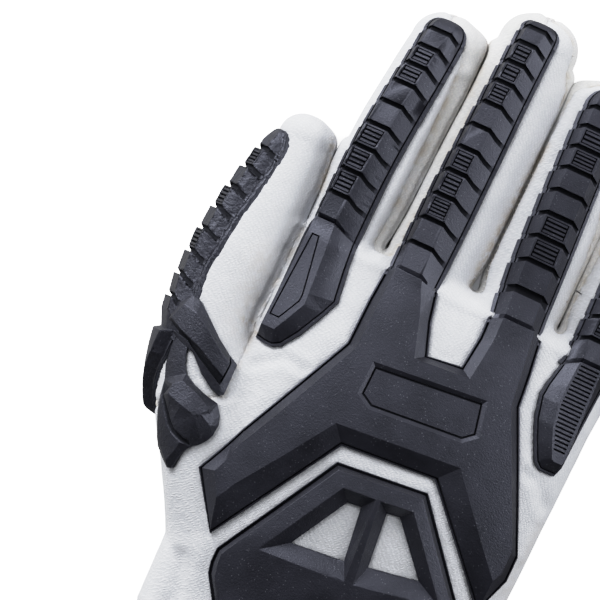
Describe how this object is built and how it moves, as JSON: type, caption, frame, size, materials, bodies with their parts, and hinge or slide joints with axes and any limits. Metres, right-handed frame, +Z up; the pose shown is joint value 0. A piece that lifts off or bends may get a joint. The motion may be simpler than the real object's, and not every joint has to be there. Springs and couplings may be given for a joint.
{
  "type": "impact-protective work glove",
  "caption": "Right-hand sewn cloth work glove with moulded rubber guards over the knuckles, fingers, thumb and back of the hand, lying palm down.",
  "frame": {"origin": "on the floor under the middle of the glove", "axes": "+Y towards the fingertips, +X towards the little finger, +Z up out of the back of the hand"},
  "size_m": [0.1356, 0.2644, 0.0409],
  "materials": {
    "shell_cloth": "soft off-white twill-faced knit cloth",
    "side_cloth": "duller, lightly soiled off-white cloth",
    "guard_rubber": "satin charcoal-black moulded rubber with a fine grain"
  },
  "bodies": {
    "root": {"back_panel": "shell_cloth", "palm_panel": "shell_cloth", "thumb_panel": "shell_cloth", "cuff": "shell_cloth", "fourchette_index_middle": "side_cloth", "fourchette_middle_ring": "side_cloth", "fourchette_ring_little": "side_cloth", "index_guard": "guard_rubber", "knuckle_guard": "guard_rubber", "little_guard": "guard_rubber", "hand_guard": "guard_rubber", "thumb_guard": "guard_rubber"}
  },
  "joints": []
}
